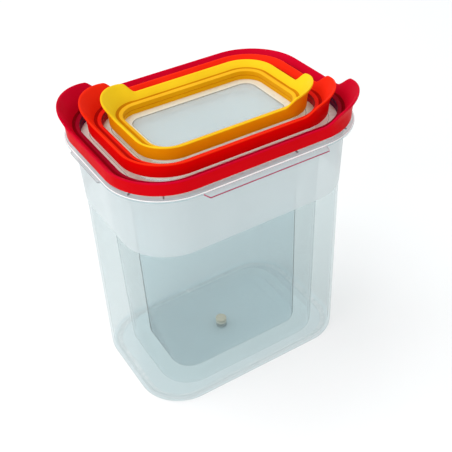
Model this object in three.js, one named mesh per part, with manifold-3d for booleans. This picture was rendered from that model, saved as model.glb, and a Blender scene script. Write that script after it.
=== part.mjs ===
// A nesting set of three snap lid food containers: tall clear tubs, one inside the other, under three
// clear lids with soft coloured rims. The large lid is snapped on the large tub, the medium lid lies in
// the large lid's recess and the small lid in the medium lid's recess.
// Millimetres, +Z up, long side along X. The origin is the centre of the large tub's foot.
import * as THREE from "three";
import { mergeVertices } from "three/addons/utils/BufferGeometryUtils.js";
import Module from "manifold-3d";

const wasm = await Module();
wasm.setup();
const { Manifold, Mesh: SolidMesh } = wasm;

// ---------------------------------------------------------------- driving dimensions
const CLEARANCE = 0.25; // between pieces that touch or are moulded together

// The three lids share one section. Each lies in the recess of the next larger one, so its outline is one
// inset smaller and its top one rise higher.
const LARGE_LID = { length: 170, width: 126, top: 192.3 };
const NEST = { inset: 12.55, rise: 2.7 };

// Each size: its lid's corner radius, its pull tabs, and its tub.
const SIZES = [
  {
    name: "large",
    lid: nestedLid(0, 38.8),
    tab: { rise: 9.8, flare: 4.4, halfSpan: 32 },
    tub: { base: 0, baseInset: { x: 4.6, y: 9.6 }, shoulder: 134.4, ledge: { x: 1.8, y: 5.3 } },
    rimColour: 0xd8092f,
    dotColour: 0xd8092f,
  },
  {
    name: "medium",
    lid: nestedLid(1, 31.2),
    tab: { rise: 9.1, flare: 4.4, halfSpan: 28 },
    tub: { base: 3.1, baseInset: { x: 8.3, y: 7 }, rimTop: 179, shoulder: 126, ledge: { x: 1.8, y: 2.6 } },
    rimColour: 0xf6401c,
    dotColour: 0xf6401c,
  },
  {
    name: "small",
    lid: nestedLid(2, 22.3),
    tab: { rise: 8.6, flare: 4.2, halfSpan: 23 },
    tub: { base: 6.2, baseInset: { x: 7.2, y: 6.2 }, rimTop: 176, shoulder: 122, ledge: { x: 1.8, y: 2.6 } },
    rimColour: 0xf7c51c,
    dotColour: 0xe8b53a,
  },
];

// The lids' section: insets are measured inwards from the lid's outline, drops from its top.
const SKIRT_DROP = 8.6;
const SKIRT_WALL = 2;
const TOP_EDGE = 0.8;
const GROOVE = { inset: 5.5, drop: 4.6, lip: 0.3, depth: 0.6 };
const RIDGE = { inset: 7, drop: 3.9 };
const INNER_WALL = { outer: 7.8, inner: 8.9, top: 4.5 };
const RIM_UNDERSIDE = 5.4;
const SNAP_BEAD = 0.4;
const TAB_STEEPNESS = 3; // how quickly a pull tab rises at its ends
const TAB_DOME = 0.5; // how much of its height it loses from the middle to its ends

// The clear tray that carries the rim, and the seal under its roof. Its foot stands on the floor of the
// next larger tray.
const LEDGE_DROP = 11;
const FLOOR_DROP = 11.6;
const ROOF_WALL = 0.6;
const TRAY_WALL = 1;
const TRAY_OUTER = 6.2;
const STEP_INSET = 14;
const STEP_DRAFT = 0.6;
const FLOOR_WALL = 1.1;
const FOOT_DROP = FLOOR_DROP + NEST.rise - CLEARANCE;
const SEAL = { outer: 2.5, inner: 5.6, thickness: 0.5, lip: 0.7 };

// The tub.
const WALL = 1.8;
const RIM_OUTER = 3.5; // inset of the tub's rim from the lid's outline
const RIM_WALL = 1.5;
const RIM_HEIGHT = 3.4; // from the flange up
const RIM_BEAD = 0.5;
const FLANGE_PROUD = { x: 1.4, y: 2.6 }; // how far the flange stands out past the lid's skirt
const FLANGE_THICKNESS = 1.6;
const COLLAR_TOP_INSET = 3.9;
const COLLAR_FOOT_INSET = { x: 5.2, y: 6.1 };
const SHOULDER_STEP = 0.4;
const SHOULDER_HEIGHT = 1.2;
const FOOT_WIDTH = 5;
const FOOT_HEIGHT = 0.8;
const BASE_EDGE = 3.2;
const FLOOR_THICKNESS = 2;
const LEDGE_SHARE = { x: 0.9, y: 0.78 }; // a finger ledge's length over the straight part of its side
const LEDGE_END = 2.4;
const GUSSET = { thickness: 0.9, reach: 3.2, height: 1.6, bite: 0.6, cornerSpread: 16, sideOffset: 24 };

const DOT = { radius: 4.2, thickness: 1 };

// Steps round each quarter circle.
const CORNER_STEPS = 8;
const TAB_STEPS = 18;
const DOT_STEPS = 20;

// ---------------------------------------------------------------- solids from rings
const QUARTER = Math.PI / 2;

// A closed solid through rings of equal length. An open row of rings is closed by a fan at each end,
// and a looped row joins its last ring to its first.
function loft(rings, looped = false) {
  const count = rings[0].length;
  const positions = rings.flat().flatMap((p) => [p.x, p.y, p.z]);
  const index = [];
  const joins = looped ? rings.length : rings.length - 1;
  for (let r = 0; r < joins; r++) {
    const here = r * count;
    const next = ((r + 1) % rings.length) * count;
    for (let i = 0; i < count; i++) {
      const j = (i + 1) % count;
      index.push(here + i, here + j, next + i);
      index.push(here + j, next + j, next + i);
    }
  }
  if (!looped) {
    const last = (rings.length - 1) * count;
    const foot = positions.length / 3;
    positions.push(0, 0, rings[0][0].z, 0, 0, rings[rings.length - 1][0].z);
    for (let i = 0; i < count; i++) {
      const j = (i + 1) % count;
      index.push(foot, j, i);
      index.push(foot + 1, last + i, last + j);
    }
  }
  const geometry = new THREE.BufferGeometry();
  geometry.setAttribute("position", new THREE.Float32BufferAttribute(positions, 3));
  geometry.setIndex(index);
  geometry.computeVertexNormals();
  return geometry;
}

// A geometry as a solid that can be joined and cut.
function solid(geometry) {
  const bare = geometry.clone();
  bare.deleteAttribute("normal");
  bare.deleteAttribute("uv");
  const merged = mergeVertices(bare, 1e-4);
  return new Manifold(
    new SolidMesh({
      numProp: 3,
      vertProperties: merged.attributes.position.array,
      triVerts: new Uint32Array(merged.index.array),
    }),
  );
}

function geometryOf(shape) {
  const mesh = shape.getMesh();
  const geometry = new THREE.BufferGeometry();
  geometry.setAttribute("position", new THREE.BufferAttribute(mesh.vertProperties, 3));
  geometry.setIndex(new THREE.BufferAttribute(mesh.triVerts, 1));
  geometry.computeVertexNormals();
  return geometry;
}

// ---------------------------------------------------------------- the tubs
// A rounded rectangle at height z, anticlockwise from +X. On the middle of each side it can stand out
// by ledge, with slanted ends, for the finger ledges.
function tubRing(half, radius, z, ledgeHalf, ledge) {
  const points = [];
  for (let quarter = 0; quarter < 4; quarter++) {
    const start = quarter * QUARTER;
    const middle = start + QUARTER / 2;
    const centreX = Math.sign(Math.cos(middle)) * (half.x - radius);
    const centreY = Math.sign(Math.sin(middle)) * (half.y - radius);
    for (let i = 0; i <= CORNER_STEPS; i++) {
      const angle = start + (i / CORNER_STEPS) * QUARTER;
      points.push(
        new THREE.Vector3(centreX + radius * Math.cos(angle), centreY + radius * Math.sin(angle), z),
      );
    }
    const side = start + QUARTER;
    const normal = new THREE.Vector3(Math.cos(side), Math.sin(side), 0);
    const along = new THREE.Vector3(-Math.sin(side), Math.cos(side), 0);
    const longSide = quarter % 2 === 0;
    const out = longSide ? half.y : half.x;
    const stand = longSide ? ledge.y : ledge.x;
    const length = longSide ? ledgeHalf.x : ledgeHalf.y;
    const stations = [
      [-length - LEDGE_END, 0],
      [-length, stand],
      [length, stand],
      [length + LEDGE_END, 0],
    ];
    for (const [where, proud] of stations) {
      const p = normal.clone().multiplyScalar(out + proud).addScaledVector(along, where);
      points.push(p.setZ(z));
    }
  }
  return points;
}

// The height of the rim of a tub whose own lid is snapped on: just under the lid's seal.
function closedRimTop(lid) {
  return lid.top - RIM_UNDERSIDE - ROOF_WALL - SEAL.thickness - 3 * CLEARANCE;
}

function tubGeometry(size) {
  const { lid, tub } = size;
  const rimTop = tub.rimTop ?? closedRimTop(lid);
  const flangeTop = rimTop - RIM_HEIGHT;
  const halfLid = { x: lid.length / 2, y: lid.width / 2 };
  const straight = { x: halfLid.x - lid.corner, y: halfLid.y - lid.corner };
  const ledgeHalf = { x: straight.x * LEDGE_SHARE.x, y: straight.y * LEDGE_SHARE.y };
  const ring = (inset, extra, z, ledge = { x: 0, y: 0 }) => {
    const half = { x: halfLid.x - inset.x - extra, y: halfLid.y - inset.y - extra };
    const radius = lid.corner - (inset.x + inset.y) / 2 - extra;
    return tubRing(half, radius, z, ledgeHalf, ledge);
  };
  const level = { x: 0, y: 0 };
  const proud = { x: -FLANGE_PROUD.x, y: -FLANGE_PROUD.y };
  const foot = tub.base;
  const floorTop = foot + FOOT_HEIGHT + FLOOR_THICKNESS;
  const flangeFoot = flangeTop - FLANGE_THICKNESS;
  const footInset = BASE_EDGE + FOOT_WIDTH;
  const corner = BASE_EDGE * (1 - Math.SQRT1_2);
  const rings = [
    ring(tub.baseInset, footInset + FOOT_HEIGHT, foot + FOOT_HEIGHT),
    ring(tub.baseInset, footInset, foot),
    ring(tub.baseInset, BASE_EDGE, foot),
    ring(tub.baseInset, corner, foot + corner),
    ring(tub.baseInset, 0, foot + BASE_EDGE),
    ring(COLLAR_FOOT_INSET, SHOULDER_STEP, tub.shoulder),
    ring(COLLAR_FOOT_INSET, 0, tub.shoulder + SHOULDER_HEIGHT),
    ring(level, COLLAR_TOP_INSET, flangeFoot),
    ring(proud, 0, flangeFoot, tub.ledge),
    ring(proud, 0, flangeTop, tub.ledge),
    ring(level, RIM_OUTER, flangeTop),
    ring(level, RIM_OUTER, rimTop - 4 * RIM_BEAD),
    ring(level, RIM_OUTER - RIM_BEAD, rimTop - 3 * RIM_BEAD),
    ring(level, RIM_OUTER, rimTop - RIM_BEAD),
    ring(level, RIM_OUTER + RIM_BEAD, rimTop),
    ring(level, RIM_OUTER + RIM_WALL, rimTop),
    ring(level, COLLAR_TOP_INSET + WALL, flangeFoot),
    ring(COLLAR_FOOT_INSET, WALL, tub.shoulder + SHOULDER_HEIGHT / 2),
    ring(COLLAR_FOOT_INSET, WALL + SHOULDER_STEP, tub.shoulder - SHOULDER_HEIGHT / 2),
    ring(tub.baseInset, WALL, floorTop + BASE_EDGE),
    ring(tub.baseInset, WALL + corner, floorTop + corner),
    ring(tub.baseInset, WALL + BASE_EDGE, floorTop),
  ];
  let shape = solid(loft(rings));
  for (const gusset of gussets(lid, straight, flangeTop)) shape = shape.add(gusset);
  return geometryOf(shape.subtract(dotPocket(tub)));
}

// Small ribs that stiffen the neck on top of the flange: two round each corner, and one on each long
// side, to the right of its middle for someone facing it. Each stands out along the outline's normal.
function gussets(lid, straight, flangeTop) {
  const { thickness, reach, height, bite, sideOffset } = GUSSET;
  const spread = THREE.MathUtils.degToRad(GUSSET.cornerSpread);
  const neck = lid.corner - RIM_OUTER;
  const places = [];
  for (let quarter = 0; quarter < 4; quarter++) {
    const middle = quarter * QUARTER + QUARTER / 2;
    const x = Math.sign(Math.cos(middle)) * straight.x;
    const y = Math.sign(Math.sin(middle)) * straight.y;
    for (const turn of [-spread, spread]) places.push({ x, y, angle: middle + turn });
  }
  for (const side of [-1, 1]) {
    places.push({ x: -side * sideOffset, y: side * straight.y, angle: side * QUARTER });
  }
  return places.map(({ x, y, angle }) => {
    const rib = new THREE.BoxGeometry(reach + bite, thickness, height + bite);
    rib.translate(neck + (reach - bite) / 2, 0, flangeTop + (height - bite) / 2);
    rib.rotateZ(angle);
    rib.translate(x, y, 0);
    return solid(rib);
  });
}

function dotPocket(tub) {
  const depth = DOT.thickness + CLEARANCE;
  const pocket = new THREE.CylinderGeometry(
    DOT.radius + CLEARANCE, DOT.radius + CLEARANCE, depth + FOOT_HEIGHT, DOT_STEPS,
  );
  pocket.rotateX(QUARTER);
  pocket.translate(0, 0, tub.base + FOOT_HEIGHT / 2 + depth / 2);
  return solid(pocket);
}

// The coloured disc pressed into the underside of a tub's floor.
function dotGeometry({ tub }) {
  const middle = tub.base + FOOT_HEIGHT + DOT.thickness / 2;
  const edge = DOT.thickness / 4;
  const profile = [
    new THREE.Vector2(0, -DOT.thickness / 2),
    new THREE.Vector2(DOT.radius - edge, -DOT.thickness / 2),
    new THREE.Vector2(DOT.radius, -DOT.thickness / 2 + edge),
    new THREE.Vector2(DOT.radius, DOT.thickness / 2),
    new THREE.Vector2(0, DOT.thickness / 2),
  ];
  const disc = new THREE.LatheGeometry(profile, DOT_STEPS);
  disc.rotateX(QUARTER);
  disc.translate(0, 0, middle);
  return geometryOf(solid(disc));
}

// ---------------------------------------------------------------- the lids
// The outline and top of the lid that lies so many steps inside the large one.
function nestedLid(steps, corner) {
  const { length, width, top } = LARGE_LID;
  const less = 2 * steps * NEST.inset;
  return { length: length - less, width: width - less, top: top + steps * NEST.rise, corner };
}

// A pull tab's height over its full rise, at a share of the way from its middle to one end.
function tabShare(away) {
  return THREE.MathUtils.smoothstep(TAB_STEEPNESS * (1 - away), 0, 1) * (1 - TAB_DOME * away * away);
}

// Points on a lid's outline with their outward direction and the pull tab's share there. The tabs are
// on the corners at -X +Y and +X -Y.
function lidStations({ lid, tab }, withTabs) {
  const stations = [];
  const centre = { x: lid.length / 2 - lid.corner, y: lid.width / 2 - lid.corner };
  const halfArc = (lid.corner * QUARTER) / 2;
  for (let quarter = 0; quarter < 4; quarter++) {
    const tabbed = withTabs && quarter % 2 === 1;
    const reach = tabbed ? tab.halfSpan : halfArc;
    const steps = tabbed ? TAB_STEPS : CORNER_STEPS;
    const middle = quarter * QUARTER + QUARTER / 2;
    const cornerX = Math.sign(Math.cos(middle)) * centre.x;
    const cornerY = Math.sign(Math.sin(middle)) * centre.y;
    for (let i = 0; i <= steps; i++) {
      const travel = THREE.MathUtils.lerp(-reach, reach, i / steps);
      const onArc = THREE.MathUtils.clamp(travel, -halfArc, halfArc);
      const angle = middle + onArc / lid.corner;
      const normal = new THREE.Vector3(Math.cos(angle), Math.sin(angle), 0);
      const straight = travel - onArc;
      stations.push({
        x: cornerX + lid.corner * normal.x - normal.y * straight,
        y: cornerY + lid.corner * normal.y + normal.x * straight,
        normal,
        tab: tabbed ? tabShare(Math.abs(travel / reach)) : 0,
      });
    }
  }
  return stations;
}

// The ring of one profile point: its inset and its drop below the lid's top, and the shares of the
// pull tab's rise and flare that it takes.
function lidRing(size, stations, [inset, drop, rise = 0, flare = rise]) {
  const { lid, tab } = size;
  return stations.map(({ x, y, normal, tab: share }) => {
    const out = share * flare * tab.flare - inset;
    const z = lid.top - drop + share * rise * tab.rise;
    return new THREE.Vector3(x + normal.x * out, y + normal.y * out, z);
  });
}

function lidSolid(size, profile, looped, withTabs = false) {
  const stations = lidStations(size, withTabs);
  return loft(profile.map((point) => lidRing(size, stations, point)), looped);
}

function rimGeometry(size) {
  const wallFoot = LEDGE_DROP - CLEARANCE;
  return lidSolid(
    size,
    [
      [0.3, SKIRT_DROP],
      [0, SKIRT_DROP - 0.5],
      [0, 5.2, 0.04, 0.12],
      [0, 3, 0.4, 0.42],
      [0.1, 0.9, 0.9, 0.9],
      [TOP_EDGE, 0, 1],
      [2, 0.9, 0.9, 0.9],
      [3.6, 2.4, 0.42, 0.4],
      [GROOVE.inset - GROOVE.lip, GROOVE.drop - GROOVE.depth, 0.06, 0.04],
      [GROOVE.inset, GROOVE.drop],
      [GROOVE.inset + GROOVE.lip, GROOVE.drop - GROOVE.depth],
      [RIDGE.inset, RIDGE.drop],
      [INNER_WALL.inner, INNER_WALL.top],
      [INNER_WALL.inner, wallFoot],
      [INNER_WALL.outer, wallFoot],
      [INNER_WALL.outer, RIM_UNDERSIDE],
      [SKIRT_WALL, RIM_UNDERSIDE],
      [SKIRT_WALL, SKIRT_DROP - 3 * SNAP_BEAD],
      [SKIRT_WALL + SNAP_BEAD, SKIRT_DROP - 2 * SNAP_BEAD],
      [SKIRT_WALL - SNAP_BEAD, SKIRT_DROP],
    ],
    true,
    true,
  );
}

function trayGeometry(size) {
  const roofTop = RIM_UNDERSIDE + CLEARANCE;
  const roofEdge = SKIRT_WALL + CLEARANCE;
  const wallInner = TRAY_OUTER + TRAY_WALL;
  const profile = [
    [STEP_INSET + STEP_DRAFT - FLOOR_WALL, FLOOR_DROP + FLOOR_WALL],
    [STEP_INSET - FLOOR_WALL, LEDGE_DROP + FLOOR_WALL],
    [wallInner, LEDGE_DROP + FLOOR_WALL],
    [wallInner, FOOT_DROP],
    [TRAY_OUTER, FOOT_DROP],
    [TRAY_OUTER, roofTop + ROOF_WALL],
    [roofEdge, roofTop + ROOF_WALL],
    [roofEdge, roofTop],
    [wallInner, roofTop],
    [wallInner, LEDGE_DROP],
    [STEP_INSET, LEDGE_DROP],
    [STEP_INSET + STEP_DRAFT, FLOOR_DROP],
  ];
  return lidSolid(size, profile, false);
}

function sealGeometry(size) {
  const top = RIM_UNDERSIDE + ROOF_WALL + 2 * CLEARANCE;
  const profile = [
    [SEAL.outer, top + SEAL.thickness],
    [SEAL.outer, top],
    [SEAL.inner, top],
    [SEAL.inner, top + SEAL.thickness + SEAL.lip],
    [SEAL.inner - 0.4, top + SEAL.thickness + SEAL.lip],
    [SEAL.inner - 0.6, top + SEAL.thickness],
  ];
  return lidSolid(size, profile, true);
}

// ---------------------------------------------------------------- materials and the assembly
function plastic(color, roughness) {
  return new THREE.MeshStandardMaterial({ color, roughness, metalness: 0 });
}

function clearPlastic(color, roughness, opacity) {
  return new THREE.MeshStandardMaterial({
    color, roughness, metalness: 0, transparent: true, opacity, side: THREE.DoubleSide,
  });
}

const set = new THREE.Group();

function add(parent, name, geometry, material) {
  const mesh = new THREE.Mesh(geometry, material);
  mesh.name = name;
  parent.add(mesh);
}

for (const size of SIZES) {
  const tub = new THREE.Group();
  add(tub, `container_${size.name}`, tubGeometry(size), clearPlastic(0xd9e2e4, 0.2, 0.4));
  add(tub, `code_dot_${size.name}`, dotGeometry(size), plastic(size.dotColour, 0.6));
  const lid = new THREE.Group();
  add(lid, `lid_rim_${size.name}`, rimGeometry(size), plastic(size.rimColour, 0.4));
  add(lid, `lid_window_${size.name}`, trayGeometry(size), clearPlastic(0xdfe8ea, 0.08, 0.3));
  add(lid, `lid_seal_${size.name}`, sealGeometry(size), plastic(0xe9ecec, 0.6));
  set.add(tub, lid);
}

export default set;
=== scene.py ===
"""Looks for a nesting set of three snap lid food containers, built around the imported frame.

Every piece is a fine loft of rounded rings that stands for one CAD node: clear tubs with a frosted
collar, soft coloured lid rims with two pull tabs, clear lid trays, seals and code dots. Metres.
"""
import math

import bmesh
import bpy
from mathutils import Matrix, Vector


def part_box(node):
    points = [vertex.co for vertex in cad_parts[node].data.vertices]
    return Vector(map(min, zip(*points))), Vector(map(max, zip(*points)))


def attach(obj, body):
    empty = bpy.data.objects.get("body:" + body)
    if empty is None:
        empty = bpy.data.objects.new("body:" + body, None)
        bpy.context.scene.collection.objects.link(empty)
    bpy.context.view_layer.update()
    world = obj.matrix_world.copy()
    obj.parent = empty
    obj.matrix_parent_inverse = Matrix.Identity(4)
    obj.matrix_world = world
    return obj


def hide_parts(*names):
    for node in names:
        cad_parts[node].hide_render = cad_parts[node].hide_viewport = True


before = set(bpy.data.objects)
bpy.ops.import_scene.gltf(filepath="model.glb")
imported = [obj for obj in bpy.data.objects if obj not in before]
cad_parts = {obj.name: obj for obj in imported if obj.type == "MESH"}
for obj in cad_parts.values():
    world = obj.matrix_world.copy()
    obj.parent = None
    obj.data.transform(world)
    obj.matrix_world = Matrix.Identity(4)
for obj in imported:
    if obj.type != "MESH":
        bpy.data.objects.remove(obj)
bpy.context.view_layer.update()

MM = 0.001
QUARTER = math.pi / 2

# ------------------------------------------------------------------ sizes, most of them the CAD model's
# The groove, the seam, the beads, the landing and the ledges' edge line are finer than in the CAD model.
# Lids: insets are measured inwards from a lid's outline, drops down from its top. Millimetres.
CLEARANCE = 0.25
SKIRT_DROP, SKIRT_WALL = 8.6, 2.0
SNAP_BEAD, SNAP_PITCH, SNAP_FLARE = 0.4, 0.8, 0.3
GROOVE_INSET, GROOVE_DROP, GROOVE_LIP, GROOVE_DEPTH = 5.5, 4.7, 0.95, 0.8
RIDGE_INSET, RIDGE_DROP = 7.0, 3.9
INNER_WALL_OUTER, INNER_WALL_INNER, INNER_WALL_TOP = 7.8, 8.9, 4.5
SEAM_DROP, SEAM_CUT = 7.6, 0.3
RIM_UNDERSIDE = 5.4
TAB_STEEPNESS, TAB_DOME = 3.0, 0.5
NEST_RISE, LEDGE_DROP, FLOOR_DROP = 2.7, 11.0, 11.6
FOOT_DROP = FLOOR_DROP + NEST_RISE - CLEARANCE
ROOF_WALL, TRAY_WALL, TRAY_OUTER = 0.6, 1.0, 6.2
STEP_INSET, STEP_DRAFT, FLOOR_WALL, LANDING = 14.0, 0.6, 1.1, 5.0
SEAL_OUTER, SEAL_INNER, SEAL_THICKNESS, SEAL_LIP = 2.5, 5.6, 0.5, 0.7
SEAL_TIP, SEAL_ROOT = 0.4, 0.6

# Tubs: insets are measured from the outline of the tub's own lid.
TUB_WALL, RIM_OUTER, RIM_WALL, RIM_HEIGHT, RIM_BEAD = 1.8, 3.5, 1.5, 3.4, 0.5
FLANGE_PROUD, FLANGE_THICKNESS = (1.4, 2.6), 1.6
COLLAR_TOP, COLLAR_FOOT = 3.9, (5.2, 6.1)
SHOULDER_STEP, SHOULDER_HEIGHT = 0.4, 1.2
FOOT_WIDTH, FOOT_HEIGHT, BASE_EDGE, TUB_FLOOR = 5.0, 0.8, 3.2, 2.0
# A finger ledge covers a share of each straight side, runs out over LEDGE_END, and counts as standing
# proud of the flange past LEDGE_STANDING.
LEDGE_SHARE, LEDGE_END, LEDGE_STANDING = (0.9, 0.78), 2.4, 0.4
BEAD_INSET, BEAD_WIDTH, BEAD_HEIGHT, BEAD_SLOPE, EDGE_LINE = 0.2, 0.35, 0.35, 0.1, 1.2
# Gussets: their spread from a corner's middle in degrees, and their offset along the long sides. Each
# is a thin rib with a short crest and a low toe, rooted in the neck and sunk into the flange.
GUSSET_SPREAD, GUSSET_OFFSET = 16, 24
GUSSET_REACH, GUSSET_HEIGHT, GUSSET_HALF = 3.2, 1.6, 0.45
GUSSET_CREST, GUSSET_TOE, GUSSET_ROOT, GUSSET_SUNK = 0.3, 0.5, 0.4, 0.1
# A lid's corner radius, its tabs' rise, flare and half span, and its tub's insets at the base, the
# height of the shoulder under the collar, and how proud the ledges stand along X and Y.
SIZES = {
    "large": dict(
        corner=38.8, rise=9.8, flare=4.4, span=32, base_inset=(4.6, 9.6), shoulder=134.4,
        ledges=(1.8, 5.3),
    ),
    "medium": dict(
        corner=31.2, rise=9.1, flare=4.4, span=28, base_inset=(8.3, 7.0), shoulder=126,
        ledges=(1.8, 2.6),
    ),
    "small": dict(
        corner=22.3, rise=8.6, flare=4.2, span=23, base_inset=(7.2, 6.2), shoulder=122,
        ledges=(1.8, 2.6),
    ),
}
BODIES = {"large": "outer_container", "medium": "middle_container", "small": "inner_container"}

# Steps of the fine lofts.
CORNER_STEPS = 20
TAB_STEPS = 64
SIDE_STEPS = 10
LEDGE_STEPS = 6
FILLET_STEPS = 5
DOT_STEPS = 48

# A fillet takes at most this share of the stretches beside its corner.
FILLET_SHARE = 0.49

# Sockets of a colour Mix node, which share their names with its other kinds.
MIX_FACTOR, MIX_FIRST, MIX_SECOND, MIX_RESULT = 0, 6, 7, 2


# ------------------------------------------------------------------ camera, light and floor
def make_camera():
    """The photograph's view: from the front left, looking down on the lids."""
    azimuth, elevation, roll = (math.radians(a) for a in (-30.23, 37.59, -2.94))
    target = Vector((20.61, 21.2, 74.86)) * MM
    distance = 600 * MM
    back = Vector((
        math.sin(azimuth) * math.cos(elevation),
        -math.cos(azimuth) * math.cos(elevation),
        math.sin(elevation),
    ))
    level = (-back).cross(Vector((0, 0, 1))).normalized()
    up = level.cross(-back)
    right = math.cos(roll) * level + math.sin(roll) * up
    top = math.cos(roll) * up - math.sin(roll) * level
    data = bpy.data.cameras.new("camera")
    data.sensor_width = 36
    data.lens = 63.7
    data.clip_start = 0.01
    camera = bpy.data.objects.new("camera", data)
    turn = Matrix((right, top, back)).transposed().to_4x4()
    camera.matrix_world = Matrix.Translation(target + back * distance) @ turn
    bpy.context.scene.collection.objects.link(camera)
    bpy.context.scene.camera = camera


def area_light(name, place, aim, size, watts):
    """A soft rectangular lamp that points at aim."""
    data = bpy.data.lights.new(name, "AREA")
    data.shape = "RECTANGLE"
    data.size, data.size_y = size
    data.energy = watts
    light = bpy.data.objects.new(name, data)
    direction = Vector(aim) - Vector(place)
    turn = direction.to_track_quat("-Z", "Y").to_matrix().to_4x4()
    light.matrix_world = Matrix.Translation(place) @ turn
    bpy.context.scene.collection.objects.link(light)


def make_studio():
    """A pale studio: an even sky, a large lamp overhead, one like a window, and a paper floor."""
    world = bpy.data.worlds.new("studio")
    world.use_nodes = True
    background = world.node_tree.nodes["Background"]
    background.inputs["Color"].default_value = (0.975, 0.995, 1, 1)
    background.inputs["Strength"].default_value = 0.75
    bpy.context.scene.world = world
    bpy.context.scene.view_settings.view_transform = "Standard"
    centre = (0, 0, 0.1)
    area_light("overhead", (-0.8, 0.5, 2.4), centre, (1.8, 1.8), 25.5)
    area_light("window_left", (-2.2, -0.9, 1.4), centre, (1.6, 1.6), 17)

    mesh = bpy.data.meshes.new("floor")
    reach = 3.0
    corners = [(-reach, -reach, 0), (reach, -reach, 0), (reach, reach, 0), (-reach, reach, 0)]
    mesh.from_pydata(corners, [], [(0, 1, 2, 3)])
    floor = bpy.data.objects.new("floor", mesh)
    bpy.context.scene.collection.objects.link(floor)
    paper, shader = new_material("paper")
    shader.inputs["Base Color"].default_value = (0.955, 0.967, 0.97, 1)
    shader.inputs["Roughness"].default_value = 0.7
    mesh.materials.append(paper)


# ------------------------------------------------------------------ materials
def new_material(name):
    """A new material and its Principled shader."""
    material = bpy.data.materials.new(name)
    material.use_nodes = True
    return material, material.node_tree.nodes["Principled BSDF"]


def ramp_noise(tree, scale, low, high, detail=3.0, stretch=(1, 1, 1)):
    """A noise value in object space, mapped to lie between low and high."""
    nodes, links = tree.nodes, tree.links
    place = nodes.new("ShaderNodeTexCoord")
    mapping = nodes.new("ShaderNodeMapping")
    mapping.inputs["Scale"].default_value = stretch
    noise = nodes.new("ShaderNodeTexNoise")
    noise.inputs["Scale"].default_value = scale
    noise.inputs["Detail"].default_value = detail
    span = nodes.new("ShaderNodeMapRange")
    span.inputs["From Min"].default_value = 0.3
    span.inputs["From Max"].default_value = 0.7
    span.inputs["To Min"].default_value = low
    span.inputs["To Max"].default_value = high
    links.new(place.outputs["Object"], mapping.inputs["Vector"])
    links.new(mapping.outputs["Vector"], noise.inputs["Vector"])
    links.new(noise.outputs["Fac"], span.inputs["Value"])
    return span.outputs["Result"]


def colour_between(tree, factor, first, second):
    """A colour that goes from first to second as the factor goes from 0 to 1."""
    mix = tree.nodes.new("ShaderNodeMix")
    mix.data_type = "RGBA"
    mix.inputs[MIX_FIRST].default_value = (*first, 1)
    mix.inputs[MIX_SECOND].default_value = (*second, 1)
    tree.links.new(factor, mix.inputs[MIX_FACTOR])
    return mix.outputs[MIX_RESULT]


def bump(tree, shader, height, strength, distance):
    """Fine relief from a height value; distance is in metres."""
    node = tree.nodes.new("ShaderNodeBump")
    node.inputs["Strength"].default_value = strength
    node.inputs["Distance"].default_value = distance
    tree.links.new(height, node.inputs["Height"])
    tree.links.new(node.outputs["Normal"], shader.inputs["Normal"])


def clear_pass(tree, tint):
    """A shader that lets light straight through, with a tint."""
    passes = tree.nodes.new("ShaderNodeBsdfTransparent")
    passes.inputs["Color"].default_value = (*tint, 1)
    return passes


def mix_surface(tree, factor, first, second):
    """Makes the surface go from the first shader to the second as the factor goes from 0 to 1."""
    mix = tree.nodes.new("ShaderNodeMixShader")
    tree.links.new(factor, mix.inputs[0])
    tree.links.new(first.outputs[0], mix.inputs[1])
    tree.links.new(second.outputs[0], mix.inputs[2])
    tree.links.new(mix.outputs[0], tree.nodes["Material Output"].inputs["Surface"])


def shade(colour, times):
    """The colour made paler or deeper, up to white."""
    return tuple(min(1, channel * times) for channel in colour)


def soft_rubber(name, light, dark):
    """Satin soft-touch moulding: a fine spark-eroded grain and a faint drift of colour."""
    material, shader = new_material(name)
    tree = material.node_tree
    drift = ramp_noise(tree, scale=45, low=0, high=1)
    gloss = ramp_noise(tree, scale=160, low=0.4, high=0.52)
    grain = ramp_noise(tree, scale=1600, low=0, high=1, detail=2)
    tree.links.new(colour_between(tree, drift, light, dark), shader.inputs["Base Color"])
    tree.links.new(gloss, shader.inputs["Roughness"])
    shader.inputs["Specular IOR Level"].default_value = 0.02
    bump(tree, shader, grain, strength=0.12, distance=0.0001)
    return material


def veil(name, tint, body, haze, edge, roughness, grazing=(6, 0, 1)):
    """The outer face of a clear wall: light passes with a slight tint, a share haze of it is caught by
    the plastic's own body, and up to a share edge where the wall is seen sideways. grazing is the power
    that sharpens the edge, and the stretch over which it comes in."""
    material, shader = new_material(name)
    tree = material.node_tree
    nodes, links = tree.nodes, tree.links
    drift = ramp_noise(tree, scale=22, low=0, high=1, detail=2, stretch=(1, 1, 0.35))
    gloss = ramp_noise(tree, scale=90, low=roughness * 0.8, high=roughness * 1.25)
    waves = ramp_noise(tree, scale=120, low=0, high=1, detail=2, stretch=(1, 1, 0.3))
    links.new(colour_between(tree, drift, body, shade(body, 1.06)), shader.inputs["Base Color"])
    links.new(gloss, shader.inputs["Roughness"])
    shader.inputs["IOR"].default_value = 1.5
    sharpness, start, full = grazing
    weight = nodes.new("ShaderNodeLayerWeight")
    weight.inputs["Blend"].default_value = 0.5
    power = nodes.new("ShaderNodeMath")
    power.operation = "POWER"
    power.inputs[1].default_value = sharpness
    # Where body is dark, this edge share draws the wall's outline as a dark line: a painted shade.
    share = nodes.new("ShaderNodeMapRange")
    share.inputs["From Min"].default_value = start
    share.inputs["From Max"].default_value = full
    share.inputs["To Min"].default_value = haze
    share.inputs["To Max"].default_value = edge
    links.new(weight.outputs["Facing"], power.inputs[0])
    links.new(power.outputs[0], share.inputs["Value"])
    mix_surface(tree, share.outputs["Result"], clear_pass(tree, tint), shader)
    bump(tree, shader, waves, strength=0.05, distance=0.0002)
    return material


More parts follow.
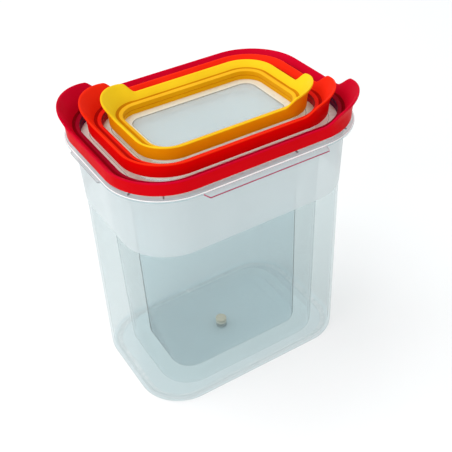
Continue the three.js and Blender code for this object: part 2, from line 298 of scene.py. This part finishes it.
def lining(name, tint, roughness):
    """The inner face of a clear wall: it bends light very little, as a thin wall does as a whole, and
    lets lamps through."""
    material, shader = new_material(name)
    tree = material.node_tree
    drift = ramp_noise(tree, scale=30, low=0, high=1, detail=2, stretch=(1, 1, 0.4))
    tree.links.new(colour_between(tree, drift, tint, shade(tint, 0.985)), shader.inputs["Base Color"])
    shader.inputs["Transmission Weight"].default_value = 1
    shader.inputs["IOR"].default_value = 1.002
    shader.inputs["Roughness"].default_value = roughness
    path = tree.nodes.new("ShaderNodeLightPath")
    mix_surface(tree, path.outputs["Is Shadow Ray"], shader, clear_pass(tree, tint))
    return material


def silicone(name, colour):
    """Matte silicone rubber that light enters a little way."""
    material, shader = new_material(name)
    tree = material.node_tree
    drift = ramp_noise(tree, scale=60, low=0, high=1)
    gloss = ramp_noise(tree, scale=200, low=0.45, high=0.6)
    tree.links.new(colour_between(tree, drift, colour, shade(colour, 1.05)), shader.inputs["Base Color"])
    tree.links.new(gloss, shader.inputs["Roughness"])
    shader.inputs["Subsurface Weight"].default_value = 0.2
    shader.inputs["Subsurface Scale"].default_value = 0.001
    return material


# ------------------------------------------------------------------ lofts
def between(first, second, t):
    """The tuple a share t of the way from the first to the second."""
    return tuple(a + (b - a) * t for a, b in zip(first, second))


def fillet(path, looped):
    """Rounds the corners of a profile. Each point is (inset, height, shares, radius, region): shares are
    numbers that ride along, radius rounds the corner there, and region names the material of the stretch
    that begins there. Returns the rounded points and the region of the stretch after each."""
    corners = [(inset, height, *shares) for inset, height, shares, _, _ in path]
    points, regions = [], []
    count = len(path)
    for i, here in enumerate(corners):
        radius, region = path[i][3:]
        ends = i in (0, count - 1) and not looped
        if radius <= 0 or ends:
            points.append(here)
            regions.append(region)
            continue
        before, after = corners[i - 1], corners[(i + 1) % count]
        far_before, far_after = math.dist(before[:2], here[:2]), math.dist(after[:2], here[:2])
        reach = min(radius, FILLET_SHARE * far_before, FILLET_SHARE * far_after)
        start = between(here, before, reach / far_before)
        end = between(here, after, reach / far_after)
        for step in range(FILLET_STEPS + 1):
            t = step / FILLET_STEPS
            points.append(between(between(start, here, t), between(here, end, t), t))
            regions.append(path[i - 1][4] if t < 0.5 else region)
    return points, regions


def mesh_object(name, vertices, faces, materials, slots):
    """A smooth mesh in the scene, from points in millimetres and each face's material."""
    mesh = bpy.data.meshes.new(name)
    mesh.from_pydata([tuple(c * MM for c in v) for v in vertices], [], faces)
    for material in materials:
        mesh.materials.append(material)
    mesh.polygons.foreach_set("material_index", slots)
    mesh.validate()
    mesh.shade_smooth()
    piece = bpy.data.objects.new(name, mesh)
    bpy.context.scene.collection.objects.link(piece)
    return piece


def loft(name, rings, regions, looped, materials):
    """A closed skin through rings of equal length; open rows are closed by a fan at each end. regions
    gives the material of the band after each ring."""
    count = len(rings[0])
    vertices = [p for ring in rings for p in ring]
    faces, slots = [], []
    joins = len(rings) if looped else len(rings) - 1
    for r in range(joins):
        here, after = r * count, ((r + 1) % len(rings)) * count
        for i in range(count):
            j = (i + 1) % count
            faces.append((here + i, here + j, after + j, after + i))
            slots.append(regions[r])
    if not looped:
        for r, order in ((0, -1), (len(rings) - 1, 1)):
            centre = len(vertices)
            vertices.append((0, 0, rings[r][0][2]))
            here = r * count
            for i in range(count):
                j = (i + 1) % count
                faces.append((centre, here + i, here + j)[::order])
                slots.append(regions[min(r, joins - 1)])
    return mesh_object(name, vertices, faces, materials, slots)


# ------------------------------------------------------------------ the tubs
def lid_half(name):
    """Half the length and width of a lid, and the height of its top, in millimetres."""
    low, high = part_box(f"lid_window_{name}")
    edge = SKIRT_WALL + CLEARANCE
    half = (high.x / MM + edge, high.y / MM + edge)
    return half, high.z / MM + RIM_UNDERSIDE + CLEARANCE


def smooth(t):
    """An ease from 0 to 1 with level ends."""
    t = min(max(t, 0.0), 1.0)
    return t * t * (3 - 2 * t)


def tub_ring(half, size, point):
    """One ring of a tub: point is (inset, height, insets along X and Y on top of that, share of the
    finger ledges)."""
    inset, height, extra_x, extra_y, ledge = point
    corner = size["corner"]
    radius = corner - inset - (extra_x + extra_y) / 2
    out_x, out_y = half[0] - inset - extra_x, half[1] - inset - extra_y
    ring = []
    for quarter in range(4):
        start = quarter * QUARTER
        middle = start + QUARTER / 2
        centre_x = math.copysign(out_x - radius, math.cos(middle))
        centre_y = math.copysign(out_y - radius, math.sin(middle))
        for step in range(CORNER_STEPS + 1):
            a = start + QUARTER * step / CORNER_STEPS
            ring.append((centre_x + radius * math.cos(a), centre_y + radius * math.sin(a), height))
        side = 1 if quarter % 2 == 0 else 0
        normal = (round(math.cos(start + QUARTER)), round(math.sin(start + QUARTER)))
        along = (-normal[1], normal[0])
        reach = (half[1 - side] - corner) * LEDGE_SHARE[1 - side]
        stand = size["ledges"][side] * ledge
        out = (out_x, out_y)[side]
        ends = [reach + LEDGE_END * (1 - step / LEDGE_STEPS) for step in range(LEDGE_STEPS + 1)]
        middles = [reach * (1 - step / SIDE_STEPS) for step in range(1, SIDE_STEPS)]
        places = [-u for u in ends + middles] + [0] + (ends + middles)[::-1]
        for u in places:
            proud = stand * smooth((reach + LEDGE_END - abs(u)) / LEDGE_END)
            ring.append((
                normal[0] * (out + proud) + along[0] * u,
                normal[1] * (out + proud) + along[1] * u,
                height,
            ))
    return ring


def gusset_shell(x, y, angle, neck, foot_height):
    """The corners and faces of one small triangular rib on the flange, leaning on the neck."""
    profile = [
        (neck - GUSSET_ROOT, 0),
        (neck + GUSSET_REACH, 0),
        (neck + GUSSET_REACH, GUSSET_TOE),
        (neck + GUSSET_CREST, GUSSET_HEIGHT),
        (neck - GUSSET_ROOT, GUSSET_HEIGHT),
    ]
    c, s = math.cos(angle), math.sin(angle)
    corners = []
    for side in (-GUSSET_HALF, GUSSET_HALF):
        for out, up in profile:
            height = foot_height + up - GUSSET_SUNK
            corners.append((x + c * out - s * side, y + s * out + c * side, height))
    count = len(profile)
    faces = [tuple(range(count)), tuple(range(2 * count - 1, count - 1, -1))]
    faces += [(i, i + count, (i + 1) % count + count, (i + 1) % count) for i in range(count)]
    return corners, faces


# Regions of a tub's skin, in the order of its materials.
TUB_REGIONS = 10
(BODY_OUT, COLLAR_OUT, FLANGE_OUT, BODY_IN, COLLAR_IN,
 BEAD, LONG_EDGE, SHORT_EDGE, GUSSET, BASE) = range(TUB_REGIONS)


def make_tub(name, materials):
    """A tub's skin from the middle of its underside, up the outside, over the rim and down inside."""
    size = SIZES[name]
    half, _ = lid_half(name)
    low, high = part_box(f"container_{name}")
    foot, rim = low.z / MM, high.z / MM
    flange = rim - RIM_HEIGHT
    under = flange - FLANGE_THICKNESS
    shoulder = size["shoulder"]
    floor = foot + FOOT_HEIGHT + TUB_FLOOR
    inner_foot = BASE_EDGE + FOOT_WIDTH
    bead_edge = BEAD_INSET + BEAD_SLOPE
    plain = (0, 0, 0)
    proud = (-FLANGE_PROUD[0], -FLANGE_PROUD[1], 0)
    ledge = (*proud[:2], 1)
    neck = (*COLLAR_FOOT, 0)
    base = (*size["base_inset"], 0)
    path = [
        (inner_foot + FOOT_HEIGHT, foot + FOOT_HEIGHT, base, 0, BASE),
        (inner_foot + FOOT_HEIGHT - 0.2, foot + FOOT_HEIGHT, base, 0.2, BASE),
        (inner_foot - 0.2, foot, base, 0.4, BASE),
        (0, foot, base, BASE_EDGE, BODY_OUT),
        (SHOULDER_STEP, shoulder, neck, 0.7, COLLAR_OUT),
        (0, shoulder + SHOULDER_HEIGHT, neck, 0.5, COLLAR_OUT),
        (COLLAR_TOP, under, plain, 0.6, FLANGE_OUT),
        (0, under, ledge, 0.25, LONG_EDGE),
        (0, under + EDGE_LINE, ledge, 0.1, FLANGE_OUT),
        (0, flange - BEAD_HEIGHT, ledge, 0.2, FLANGE_OUT),
        (BEAD_INSET, flange - BEAD_HEIGHT, proud, 0.1, BEAD),
        (bead_edge, flange, proud, 0.25, BEAD),
        (bead_edge + BEAD_WIDTH, flange, proud, 0.25, FLANGE_OUT),
        (bead_edge + BEAD_WIDTH + 2 * BEAD_SLOPE, flange - BEAD_HEIGHT, proud, 0.1, FLANGE_OUT),
        (RIM_OUTER, flange - BEAD_HEIGHT, plain, 0.5, FLANGE_OUT),
        (RIM_OUTER, rim - 4 * RIM_BEAD, plain, 0.3, FLANGE_OUT),
        (RIM_OUTER - RIM_BEAD, rim - 3 * RIM_BEAD, plain, 0.4, FLANGE_OUT),
        (RIM_OUTER, rim - RIM_BEAD, plain, 0.3, FLANGE_OUT),
        (RIM_OUTER, rim, plain, 0.5, FLANGE_OUT),
        (RIM_OUTER + RIM_WALL, rim, plain, 0.6, COLLAR_IN),
        (COLLAR_TOP + TUB_WALL, under, plain, 3, COLLAR_IN),
        (TUB_WALL, shoulder + SHOULDER_HEIGHT / 2, neck, 0.8, BODY_IN),
        (TUB_WALL + SHOULDER_STEP, shoulder - SHOULDER_HEIGHT / 2, neck, 0.8, BODY_IN),
        (TUB_WALL, floor, base, BASE_EDGE, BODY_IN),
        (TUB_WALL + BASE_EDGE + 2, floor, base, 0, BODY_IN),
    ]
    points, regions = fillet(path, False)
    rings = [tub_ring(half, size, p) for p in points]
    tub = loft(f"tub_{name}", rings, regions, False, materials)
    sort_edges(tub, half)
    add_gussets(tub, half, size["corner"], flange)
    stand_for(tub, f"container_{name}", BODIES[name])
    return tub


def sort_edges(tub, half):
    """Gives the edges of the finger ledges looks of their own, one on the long sides and another on the
    short ones, and leaves the rest of the flange's edge plain."""
    # In the outer tub's materials the long sides' edge line is a painted reflection of the red lid, and
    # the short sides' edge line is a painted shade line.
    for face in tub.data.polygons:
        if face.material_index != LONG_EDGE:
            continue
        x, y = abs(face.center.x) / MM, abs(face.center.y) / MM
        if y > half[1] + FLANGE_PROUD[1] + LEDGE_STANDING:
            continue
        short = x > half[0] + FLANGE_PROUD[0] + LEDGE_STANDING
        face.material_index = SHORT_EDGE if short else FLANGE_OUT


def add_gussets(tub, half, corner, flange):
    """Two small ribs at each corner of the flange and one on each long side."""
    straight = (half[0] - corner, half[1] - corner)
    neck = corner - RIM_OUTER
    places = []
    for quarter in range(4):
        middle = quarter * QUARTER + QUARTER / 2
        x = math.copysign(straight[0], math.cos(middle))
        y = math.copysign(straight[1], math.sin(middle))
        for turn in (-1, 1):
            places.append((x, y, middle + turn * math.radians(GUSSET_SPREAD)))
    for side in (-1, 1):
        places.append((-side * GUSSET_OFFSET, side * straight[1], side * QUARTER))
    shell = bmesh.new()
    shell.from_mesh(tub.data)
    for x, y, angle in places:
        corners, faces = gusset_shell(x, y, angle, neck, flange)
        verts = [shell.verts.new([c * MM for c in corner_at]) for corner_at in corners]
        for face in faces:
            shell.faces.new([verts[i] for i in face]).material_index = GUSSET
    shell.to_mesh(tub.data)
    shell.free()


def stand_for(piece, node, body):
    """Hangs a piece on its body and hides the CAD node that it replaces."""
    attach(piece, body)
    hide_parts(node)


# ------------------------------------------------------------------ the lids
def tab_share(away):
    """A pull tab's height over its full rise, at a share of the way from its middle to one end."""
    return smooth(TAB_STEEPNESS * (1 - away)) * (1 - TAB_DOME * away * away)


def lid_stations(half, size, with_tabs):
    """Points on a lid's outline, each with its outward direction and the pull tab's share there."""
    corner = size["corner"]
    half_arc = corner * QUARTER / 2
    stations = []
    for quarter in range(4):
        tabbed = with_tabs and quarter % 2 == 1
        reach = size["span"] if tabbed else half_arc
        steps = TAB_STEPS if tabbed else CORNER_STEPS
        middle = quarter * QUARTER + QUARTER / 2
        x = math.copysign(half[0] - corner, math.cos(middle))
        y = math.copysign(half[1] - corner, math.sin(middle))
        for step in range(steps + 1):
            travel = reach * (2 * step / steps - 1)
            on_arc = min(max(travel, -half_arc), half_arc)
            angle = middle + on_arc / corner
            n = (math.cos(angle), math.sin(angle))
            straight = travel - on_arc
            place = (x + corner * n[0] - n[1] * straight, y + corner * n[1] + n[0] * straight)
            share = tab_share(abs(travel) / reach) if tabbed else 0
            stations.append((place, n, share))
    return stations


def lid_ring(stations, top, size, point):
    """One ring of a lid: point is (inset, drop, shares of the pull tabs' rise and flare)."""
    inset, drop, rise, flare = point
    ring = []
    for (x, y), n, share in stations:
        out = share * flare * size["flare"] - inset
        ring.append((x + n[0] * out, y + n[1] * out, top - drop + share * rise * size["rise"]))
    return ring


def lid_piece(kind, name, path, looped, materials, with_tabs=False):
    """A piece of a lid, from the path of its section."""
    size = SIZES[name]
    half, top = lid_half(name)
    stations = lid_stations(half, size, with_tabs)
    points, regions = fillet(path, looped)
    rings = [lid_ring(stations, top, size, p) for p in points]
    piece = loft(f"{kind}_{name}_fine", rings, regions, looped, materials)
    stand_for(piece, f"{kind}_{name}", f"{name}_lid")
    return piece


# Regions of a rim's skin, in the order of its materials. Their colours paint light and shade: the flange
# is a lit copy of the skirt's colour, and the groove, the seam, the ridge and the inner wall are
# darkened as painted shade.
SKIRT, FLANGE, GROOVE, RIDGE, INNER = range(5)


def make_rim(name, materials):
    """The soft rim: its section from the skirt's foot, over the top, and down the recess's wall."""
    foot = LEDGE_DROP - CLEARANCE
    lip = GROOVE_DROP - GROOVE_DEPTH
    flat = (0, 0)
    path = [
        (0, SKIRT_DROP, flat, 0.5, SKIRT),
        (0, 5.2, (0.04, 0.03), 1.5, SKIRT),
        (0, 3, (0.4, 0.16), 1.5, SKIRT),
        (0.1, 1.6, (0.7, 0.56), 1.2, SKIRT),
        (0.1, 0.9, (0.9, 0.92), 0.4, FLANGE),
        (0.25, 0, (1, 1), 0.7, FLANGE),
        (1.4, 0.2, (1, 1), 0.8, FLANGE),
        (2.2, 1.1, (0.88, 0.85), 1, FLANGE),
        (3.4, 2.4, (0.4, 0.25), 1.2, FLANGE),
        (GROOVE_INSET - GROOVE_LIP, lip, (0.06, 0.04), 0.15, GROOVE),
        (GROOVE_INSET, GROOVE_DROP, flat, 0.15, GROOVE),
        (GROOVE_INSET + GROOVE_LIP, lip, flat, 0.15, RIDGE),
        (RIDGE_INSET, RIDGE_DROP, flat, 0.8, RIDGE),
        (INNER_WALL_INNER, INNER_WALL_TOP, flat, 0.4, INNER),
        # A seam cut in the inner wall takes the groove's darker colour: a painted shade line.
        (INNER_WALL_INNER, SEAM_DROP - SEAM_CUT, flat, 0.1, GROOVE),
        (INNER_WALL_INNER - SEAM_CUT, SEAM_DROP, flat, 0.1, GROOVE),
        (INNER_WALL_INNER, SEAM_DROP + SEAM_CUT, flat, 0.1, INNER),
        (INNER_WALL_INNER, foot, flat, 0.3, INNER),
        (INNER_WALL_OUTER, foot, flat, 0.2, SKIRT),
        (INNER_WALL_OUTER, RIM_UNDERSIDE, flat, 0.2, SKIRT),
        (SKIRT_WALL, RIM_UNDERSIDE, flat, 0.5, SKIRT),
        (SKIRT_WALL, SKIRT_DROP - 2 * SNAP_PITCH, flat, 0.3, SKIRT),
        (SKIRT_WALL + SNAP_BEAD, SKIRT_DROP - SNAP_PITCH, flat, 0.3, SKIRT),
        (SKIRT_WALL - SNAP_FLARE, SKIRT_DROP, flat, 0.4, SKIRT),
    ]
    lid_piece("lid_rim", name, path, True, materials, with_tabs=True)


# Regions of a tray's skin, in the order of its materials.
WINDOW, LEDGE, STEP, UNDERSIDE = range(4)


def make_tray(name, materials):
    """The clear tray: its section from under the floor, out over the roof and back to the floor."""
    roof = RIM_UNDERSIDE + CLEARANCE
    edge = SKIRT_WALL + CLEARANCE
    wall = TRAY_OUTER + TRAY_WALL
    step_foot = STEP_INSET + STEP_DRAFT
    # A frosted band in the trays that another lid's foot lands on.
    landing = WINDOW if name == "small" else LEDGE
    flat = (0, 0)
    path = [
        (step_foot + 1.5, FLOOR_DROP + FLOOR_WALL, flat, 0, UNDERSIDE),
        (step_foot - FLOOR_WALL, FLOOR_DROP + FLOOR_WALL, flat, 0.5, UNDERSIDE),
        (STEP_INSET - FLOOR_WALL, LEDGE_DROP + FLOOR_WALL, flat, 0.4, UNDERSIDE),
        (wall, LEDGE_DROP + FLOOR_WALL, flat, 0.4, UNDERSIDE),
        (wall, FOOT_DROP, flat, 0.3, LEDGE),
        (TRAY_OUTER, FOOT_DROP, flat, 0.3, LEDGE),
        (TRAY_OUTER, roof + ROOF_WALL, flat, 0.2, UNDERSIDE),
        (edge, roof + ROOF_WALL, flat, 0.2, UNDERSIDE),
        (edge, roof, flat, 0.2, LEDGE),
        (wall, roof, flat, 0.3, LEDGE),
        (wall, LEDGE_DROP, flat, 0.4, LEDGE),
        (STEP_INSET, LEDGE_DROP, flat, 0.2, STEP),
        (step_foot, FLOOR_DROP, flat, 0.2, landing),
        (step_foot + LANDING, FLOOR_DROP, flat, 0.1, WINDOW),
        (step_foot + LANDING + 1, FLOOR_DROP, flat, 0, WINDOW),
    ]
    return lid_piece("lid_window", name, path, False, materials)


def make_seal(name, material):
    """The sealing ring under a tray's roof, with a lip that points down."""
    top = RIM_UNDERSIDE + ROOF_WALL + 2 * CLEARANCE
    foot = top + SEAL_THICKNESS
    flat = (0, 0)
    path = [
        (SEAL_OUTER, foot, flat, 0.2, 0),
        (SEAL_OUTER, top, flat, 0.2, 0),
        (SEAL_INNER, top, flat, 0.2, 0),
        (SEAL_INNER, foot + SEAL_LIP, flat, 0.15, 0),
        (SEAL_INNER - SEAL_TIP, foot + SEAL_LIP, flat, 0.15, 0),
        (SEAL_INNER - SEAL_ROOT, foot, flat, 0.2, 0),
    ]
    lid_piece("lid_seal", name, path, True, [material])


# ------------------------------------------------------------------ the code dots
def make_dot(name, material):
    """A slightly domed disc with soft edges, pressed into the underside of a tub's floor."""
    low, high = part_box(f"code_dot_{name}")
    foot, crown = low.z / MM, high.z / MM
    radius = high.x / MM
    middle = 0.4
    profile = [
        (middle, foot),
        (radius - 0.5, foot),
        (radius, foot + 0.3),
        (radius, crown - 0.35),
        (radius - 0.35, crown - 0.1),
        (radius * 0.6, crown - 0.02),
        (middle, crown),
    ]
    turns = [2 * math.pi * step / DOT_STEPS for step in range(DOT_STEPS)]
    rings = [[(r * math.cos(a), r * math.sin(a), z) for a in turns] for r, z in profile]
    dot = loft(f"dot_{name}", rings, [0] * len(rings), False, [material])
    stand_for(dot, f"code_dot_{name}", BODIES[name])


# ------------------------------------------------------------------ the set's materials
def nested_tub(name, body, inner, base):
    """Materials of a tub that stands inside another: its body, body lining and base are its own, and
    its collar and flange are faint, because they are seen through the outer tub's frosted collar."""
    collar = veil(f"{name}_collar", tint=(0.97, 0.98, 0.98), body=(0.6, 0.67, 0.69),
                  haze=0.25, edge=0.6, roughness=0.35)
    flange = veil(f"{name}_flange", tint=(0.98, 0.985, 0.985), body=(0.66, 0.74, 0.76),
                  haze=0.15, edge=0.6, roughness=0.12)
    collar_inner = lining(f"{name}_collar_inner", tint=(0.985, 0.99, 0.99), roughness=0.03)
    # In the order of the regions: the bead, the ledges' edges and the gussets look like the flange.
    return [body, collar, flange, inner, collar_inner, flange, flange, flange, flange, base]


tub_materials = {
    "large": [
        veil("outer_body", tint=(0.85, 0.885, 0.888), body=(0.64, 0.715, 0.735),
             haze=0.05, edge=0.7, roughness=0.12),
        veil("outer_collar", tint=(0.9, 0.925, 0.93), body=(0.58, 0.635, 0.65),
             haze=0.57, edge=0.78, roughness=0.35),
        veil("outer_flange", tint=(0.93, 0.95, 0.955), body=(0.54, 0.68, 0.7),
             haze=0.45, edge=0.85, roughness=0.12),
        lining("outer_body_inner", tint=(0.918, 0.947, 0.948), roughness=0.01),
        lining("outer_collar_inner", tint=(0.95, 0.965, 0.965), roughness=0.08),
        # The flange bead's near-white is a painted highlight along the flange's rounded lip.
        veil("flange_bead_painted_highlight", tint=(0.98, 0.985, 0.985), body=(0.94, 1, 1),
             haze=0.9, edge=0.97, roughness=0.2),
        # The long ledges' edge line is crimson: a painted reflection of the red lid's colour on the
        # clear edge.
        veil("long_ledge_edge_painted_reflection", tint=(0.9, 0.7, 0.76), body=(0.34, 0.008, 0.06),
             haze=0.85, edge=0.95, roughness=0.2),
        # The short ledges' edge line and the gussets are clear plastic with dark grey bodies: painted
        # shade lines.
        veil("short_ledge_edge_painted_shade", tint=(0.95, 0.96, 0.965), body=(0.26, 0.28, 0.29),
             haze=0.75, edge=0.9, roughness=0.2),
        veil("flange_gusset_painted_shade", tint=(0.9, 0.91, 0.915), body=(0.16, 0.18, 0.19),
             haze=0.75, edge=0.9, roughness=0.2),
        # The base's darker body comes in where its rounded edge is seen sideways. It draws a darker line
        # that is partly the real edge and partly painted shade for the contact with the floor.
        veil("outer_base", tint=(0.86, 0.92, 0.935), body=(0.5, 0.57, 0.6),
             haze=0.05, edge=0.8, roughness=0.12, grazing=(1, 0.6, 0.8)),
    ],
    # The nested tubs' bodies and bases are dark grey to near black where their walls are seen sideways:
    # painted shade lines along the clear walls' outlines.
    "medium": nested_tub(
        "medium",
        body=veil("medium_body", tint=(0.955, 0.968, 0.97), body=(0.42, 0.49, 0.51),
                  haze=0.1, edge=0.85, roughness=0.12, grazing=(1, 0.78, 0.9)),
        inner=lining("medium_body_inner", tint=(0.985, 0.99, 0.99), roughness=0.01),
        base=veil("medium_base", tint=(0.97, 1, 1), body=(0.14, 0.18, 0.19),
                  haze=0.02, edge=0.7, roughness=0.12, grazing=(1, 0.75, 0.9)),
    ),
    "small": nested_tub(
        "small",
        body=veil("small_body", tint=(0.938, 0.972, 0.982), body=(0.06, 0.08, 0.09),
                  haze=0.01, edge=0.97, roughness=0.12, grazing=(1, 0.77, 0.82)),
        inner=lining("small_body_inner", tint=(0.978, 0.99, 0.994), roughness=0.01),
        base=veil("small_base", tint=(0.94, 0.985, 1), body=(0.06, 0.08, 0.09),
                  haze=0.01, edge=0.9, roughness=0.12, grazing=(1, 0.75, 0.85)),
    ),
}
tray_materials = [
    veil("tray_window", tint=(0.985, 0.992, 0.992), body=(0.54, 0.63, 0.65),
         haze=0.35, edge=0.7, roughness=0.1),
    veil("tray_ledge", tint=(0.99, 0.985, 0.975), body=(0.8, 0.78, 0.66),
         haze=0.82, edge=0.95, roughness=0.3),
    # The step's dark body draws the clear step as a thin dark line: painted shade.
    veil("tray_step_painted_shade", tint=(0.9, 0.9, 0.88), body=(0.3, 0.28, 0.22),
         haze=0.7, edge=0.9, roughness=0.2),
    lining("tray_underside", tint=(0.99, 0.993, 0.993), roughness=0.01),
]
# Per rim: the skirt's colour, then the flange's colour as a lit copy of it (paler, and more crimson on
# the red rim), which is painted light.
rim_materials = {
    "large": [
        # The groove, ridge and inner colours are darker versions of the rim's colour: painted shade.
        soft_rubber("red_skirt", (0.66, 0.0006, 0.006), (0.6, 0.0005, 0.004)),
        soft_rubber("red_flange_painted_light", (0.64, 0.0006, 0.024), (0.58, 0.0005, 0.018)),
        soft_rubber("red_groove_painted_shade", (0.26, 0.0004, 0.006), (0.22, 0.0003, 0.004)),
        soft_rubber("red_ridge_painted_shade", (0.34, 0.0006, 0.02), (0.3, 0.0005, 0.015)),
        soft_rubber("red_inner_painted_shade", (0.08, 0.0008, 0.025), (0.06, 0.0006, 0.018)),
    ],
    "medium": [
        soft_rubber("orange_skirt", (0.88, 0.0008, 0.0012), (0.82, 0.0006, 0.001)),
        soft_rubber("orange_flange_painted_light", (0.95, 0.026, 0.006), (0.9, 0.022, 0.005)),
        soft_rubber("orange_groove_painted_shade", (0.5, 0.004, 0.002), (0.44, 0.003, 0.001)),
        soft_rubber("orange_ridge_painted_shade", (0.88, 0.018, 0.008), (0.82, 0.014, 0.006)),
        soft_rubber("orange_inner_painted_shade", (0.26, 0.003, 0.004), (0.2, 0.002, 0.003)),
    ],
    "small": [
        soft_rubber("yellow_skirt", (0.78, 0.33, 0.001), (0.72, 0.29, 0.0008)),
        soft_rubber("yellow_flange_painted_light", (0.93, 0.62, 0.017), (0.88, 0.56, 0.013)),
        soft_rubber("yellow_groove_painted_shade", (0.66, 0.26, 0.001), (0.58, 0.21, 0.0008)),
        soft_rubber("yellow_ridge_painted_shade", (0.88, 0.48, 0.018), (0.82, 0.42, 0.014)),
        soft_rubber("amber_inner_painted_shade", (0.7, 0.32, 0.002), (0.64, 0.27, 0.0015)),
    ],
}
seal_material = silicone("seal_silicone", (0.8, 0.82, 0.82))
# The large dot, under the other two, is grey: a painted shadow below the small dot's beige.
dot_materials = {
    "large": soft_rubber("dot_large", (0.42, 0.44, 0.43), (0.38, 0.4, 0.39)),
    "medium": soft_rubber("dot_medium", (0.66, 0.63, 0.54), (0.6, 0.57, 0.49)),
    "small": soft_rubber("dot_small", (0.64, 0.59, 0.46), (0.58, 0.54, 0.42)),
}


# ------------------------------------------------------------------ the set
make_camera()
make_studio()
for size_name in SIZES:
    tub = make_tub(size_name, tub_materials[size_name])
    make_dot(size_name, dot_materials[size_name])
    make_rim(size_name, rim_materials[size_name])
    tray = make_tray(size_name, tray_materials)
    make_seal(size_name, seal_material)
    # The clear walls shade nothing, but for the outer tub, which gives the floor a faint shadow.
    for clear in (tub, tray):
        clear.visible_diffuse = False
        clear.visible_shadow = clear is tub and size_name == "large"
